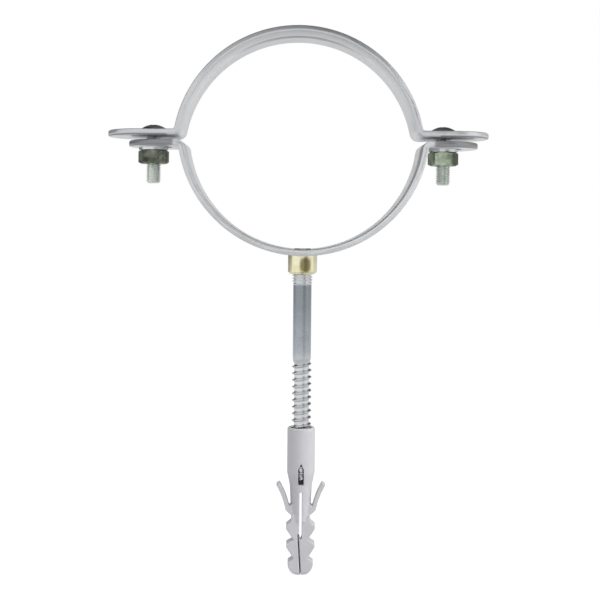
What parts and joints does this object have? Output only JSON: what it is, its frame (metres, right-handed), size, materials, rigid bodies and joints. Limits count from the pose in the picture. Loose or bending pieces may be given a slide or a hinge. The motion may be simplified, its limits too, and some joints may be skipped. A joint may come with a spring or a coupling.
{
  "type": "downpipe clamp",
  "caption": "Two-piece galvanised pipe clamp with bolted ears, a riveted threaded boss, a hanger screw and a nylon wall plug, to hold a round downpipe off a wall.",
  "frame": {"origin": "centre of the wall plug's mouth, on the screw's axis, where the screw leaves the wall", "axes": "+Z along the screw away from the wall, towards the pipe ring; the pipe runs along Y; the ears point along X"},
  "size_m": [0.1298, 0.025, 0.1861],
  "materials": {
    "galvanised_strip": "hot-dip or pre-galvanised, dull bright",
    "zinc_plated_bolt": "zinc plated, greenish grey",
    "olive_nut": "dark olive passivated",
    "washer_steel": "zinc plated",
    "yellow_passivated": "yellow passivated zinc",
    "screw_steel": "zinc plated, bluish grey",
    "grey_nylon": "moulded nylon"
  },
  "bodies": {
    "plug": {"wall_plug": "grey_nylon"},
    "screw": {"hanger_screw": "screw_steel"},
    "lower_half": {"lower_half_band": "galvanised_strip", "threaded_boss": "yellow_passivated", "left_washer": "washer_steel", "right_washer": "washer_steel"},
    "upper_half": {"upper_half_band": "galvanised_strip", "left_bolt": "zinc_plated_bolt", "right_bolt": "zinc_plated_bolt"},
    "left_nut": {"left_nut": "olive_nut"},
    "right_nut": {"right_nut": "olive_nut"}
  },
  "joints": [
    {"name": "screw_turn", "type": "hinge", "parent": "plug", "child": "screw", "pos_m": [0, 0, 0], "axis": [0, 0, 1], "continuous": true},
    {"name": "clamp_turn", "type": "hinge", "parent": "screw", "child": "lower_half", "pos_m": [0, 0, 0.0525], "axis": [0, 0, 1], "continuous": true},
    {"name": "left_nut_turn", "type": "hinge", "parent": "lower_half", "child": "left_nut", "pos_m": [-0.0512, 0, 0.0922], "axis": [0, 0, -1], "range_deg": [0, 4680]},
    {"name": "right_nut_turn", "type": "hinge", "parent": "lower_half", "child": "right_nut", "pos_m": [0.0478, 0, 0.0922], "axis": [0, 0, -1], "range_deg": [0, 4680]},
    {"name": "upper_half_lift", "type": "slide", "parent": "lower_half", "child": "upper_half", "axis": [0, 0, 1], "range_m": [0, 0.0104]}
  ],
  "couplings": [
    {"joint": "left_nut_turn", "follows": "upper_half_lift", "rad_per_m": 7854},
    {"joint": "right_nut_turn", "follows": "upper_half_lift", "rad_per_m": 7854}
  ]
}
